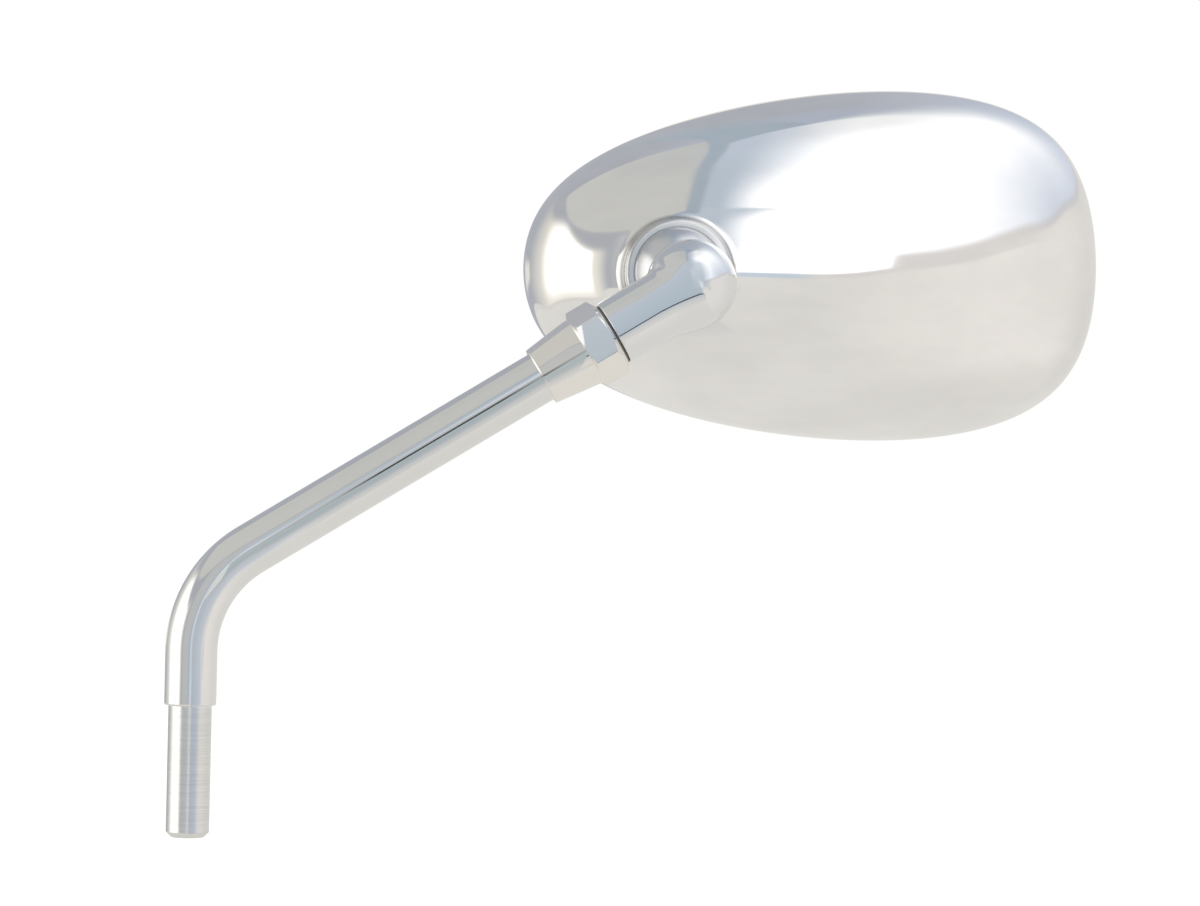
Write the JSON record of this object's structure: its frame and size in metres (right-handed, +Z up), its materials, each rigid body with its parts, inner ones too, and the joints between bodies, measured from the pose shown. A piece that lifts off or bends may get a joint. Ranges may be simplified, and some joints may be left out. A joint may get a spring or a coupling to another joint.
{
  "type": "motorcycle mirror",
  "caption": "Left-hand rear-view mirror: egg-shaped bright metal housing on a ball joint, on a bent rod that ends in a plain clamp peg.",
  "frame": {"origin": "centre of the shoulder where the clamp peg meets the thicker rod", "axes": "+Z up along the peg, +X outboard along the arm, +Y towards the rider, the way the glass looks"},
  "size_m": [0.2233, 0.0592, 0.1814],
  "materials": {
    "bright_rod": "polished",
    "bright_nut": "polished",
    "bright_elbow": "polished",
    "bright_housing": "polished",
    "dark_washer": "blackened",
    "ball_steel": "turned",
    "zinc_steel": "zinc plated",
    "spring_steel": "satin",
    "nylon": "matte",
    "carrier_plastic": "matte",
    "foam": "foam",
    "mirror_glass": "mirror",
    "gasket_rubber": "satin"
  },
  "bodies": {
    "stem": {"stem": "bright_rod"},
    "washer": {"lock_washer": "dark_washer"},
    "nut": {"lock_nut": "bright_nut"},
    "elbow": {"elbow": "bright_elbow", "ball_stud": "ball_steel"},
    "pad": {"friction_pad": "nylon"},
    "cup": {"spring_cup": "zinc_steel", "disc_spring_front": "spring_steel", "disc_spring_rear": "spring_steel"},
    "head": {"housing": "bright_housing", "clamp_plate": "zinc_steel", "clamp_screws": "zinc_steel", "glass_carrier": "carrier_plastic", "carrier_screws": "zinc_steel", "foam_pad": "foam", "mirror_glass": "mirror_glass", "glass_gasket": "gasket_rubber"}
  },
  "joints": [
    {"name": "nut_travel", "type": "slide", "parent": "stem", "child": "washer", "axis": [0.848, 0, 0.5299], "range_m": [-0.0025, 0]},
    {"name": "nut_turn", "type": "hinge", "parent": "washer", "child": "nut", "pos_m": [0.09617, 0, 0.08819], "axis": [0.848, 0, 0.5299], "range_deg": [-720, 0]},
    {"name": "elbow_swivel", "type": "hinge", "parent": "stem", "child": "elbow", "pos_m": [0.09617, 0, 0.08819], "axis": [0.848, 0, 0.5299], "range_deg": [-90, 90]},
    {"name": "head_turn", "type": "hinge", "parent": "elbow", "child": "pad", "pos_m": [0.11214, 0.01844, 0.10359], "axis": [0, 0, 1], "range_deg": [-5, 19]},
    {"name": "head_tilt", "type": "hinge", "parent": "pad", "child": "cup", "pos_m": [0.11214, 0.01844, 0.10359], "axis": [1, 0, 0], "range_deg": [-3, 26]},
    {"name": "head_roll", "type": "hinge", "parent": "cup", "child": "head", "pos_m": [0.11214, 0.01844, 0.10359], "axis": [0, 1, 0], "range_deg": [-20, 20]}
  ],
  "couplings": [
    {"joint": "nut_turn", "follows": "nut_travel", "rad_per_m": 5026.5}
  ]
}
